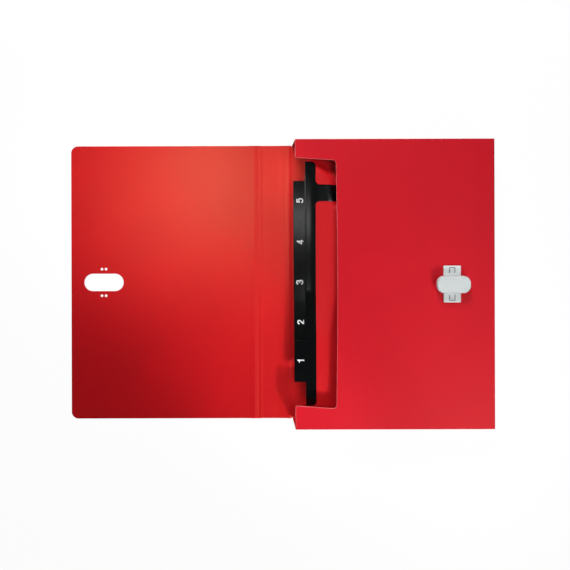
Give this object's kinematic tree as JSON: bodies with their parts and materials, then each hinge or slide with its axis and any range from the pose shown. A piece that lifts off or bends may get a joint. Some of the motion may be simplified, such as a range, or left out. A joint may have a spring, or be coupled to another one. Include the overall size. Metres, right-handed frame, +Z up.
{
  "type": "document folder",
  "caption": "Box-shaped plastic A4 document folder lying open: pocket with numbered index dividers, spine, flap with a slot, and a turning knob closure.",
  "frame": {"origin": "on the table under the middle of the open folder's bounding box", "axes": "+X from the flap's free edge to the pocket's closed end, +Y across the folder, +Z up from the table"},
  "size_m": [0.5012, 0.33, 0.0443],
  "materials": {
    "red_sheet": "fine grained satin",
    "red_divider": "fine grained satin",
    "black_strip": "semi-gloss",
    "grey_moulding": "satin moulded",
    "spring_steel": "stamped spring steel"
  },
  "bodies": {
    "pocket": {"back_panel": "red_sheet", "bottom_wall": "red_sheet", "front_panel": "red_sheet", "side_wall_left": "red_sheet", "side_wall_right": "red_sheet", "closure_base_plate": "grey_moulding", "closure_back_plate": "grey_moulding", "divider_foot_1": "red_divider", "divider_foot_2": "red_divider", "divider_foot_3": "red_divider", "divider_foot_4": "red_divider", "divider_foot_5": "red_divider"},
    "spine": {"spine_panel": "red_sheet", "spine_crease": "red_sheet"},
    "flap": {"flap_panel": "red_sheet", "flap_crease": "red_sheet"},
    "knob": {"closure_knob": "grey_moulding", "closure_retaining_clip": "spring_steel"},
    "divider_1": {"divider_sheet_1": "red_divider", "index_strip_1": "black_strip", "divider_crease_1": "red_divider"},
    "divider_2": {"divider_sheet_2": "red_divider", "index_strip_2": "black_strip", "divider_crease_2": "red_divider"},
    "divider_3": {"divider_sheet_3": "red_divider", "index_strip_3": "black_strip", "divider_crease_3": "red_divider"},
    "divider_4": {"divider_sheet_4": "red_divider", "index_strip_4": "black_strip", "divider_crease_4": "red_divider"},
    "divider_5": {"divider_sheet_5": "red_divider", "index_strip_5": "black_strip", "divider_crease_5": "red_divider"}
  },
  "joints": [
    {"name": "spine_fold", "type": "hinge", "parent": "pocket", "child": "spine", "pos_m": [0.01365, 0, 0.0008], "axis": [0, 1, 0], "range_deg": [0, 90], "deforming": ["spine_crease"]},
    {"name": "flap_fold", "type": "hinge", "parent": "spine", "child": "flap", "pos_m": [-0.02335, 0, 0.0008], "axis": [0, 1, 0], "range_deg": [0, 90], "deforming": ["flap_crease"]},
    {"name": "closure_turn", "type": "hinge", "parent": "pocket", "child": "knob", "pos_m": [0.20145, 0, 0.0388], "axis": [0, 0, 1], "range_deg": [0, 90]},
    {"name": "divider_5_lift", "type": "hinge", "parent": "pocket", "child": "divider_5", "pos_m": [0.24875, 0, 0.005], "axis": [0, 1, 0], "range_deg": [-1.4, 0.4], "deforming": ["divider_crease_5"]},
    {"name": "divider_4_lift", "type": "hinge", "parent": "divider_5", "child": "divider_4", "pos_m": [0.24875, 0, 0.0106], "axis": [0, 1, 0], "range_deg": [-0.4, 0.4], "deforming": ["divider_crease_4"]},
    {"name": "divider_3_lift", "type": "hinge", "parent": "divider_4", "child": "divider_3", "pos_m": [0.24875, 0, 0.0162], "axis": [0, 1, 0], "range_deg": [-0.4, 0.5], "deforming": ["divider_crease_3"]},
    {"name": "divider_2_lift", "type": "hinge", "parent": "divider_3", "child": "divider_2", "pos_m": [0.24875, 0, 0.0218], "axis": [0, 1, 0], "range_deg": [-0.4, 0.6], "deforming": ["divider_crease_2"]},
    {"name": "divider_1_lift", "type": "hinge", "parent": "divider_2", "child": "divider_1", "pos_m": [0.24875, 0, 0.0274], "axis": [0, 1, 0], "range_deg": [-0.4, 1], "deforming": ["divider_crease_1"]}
  ]
}
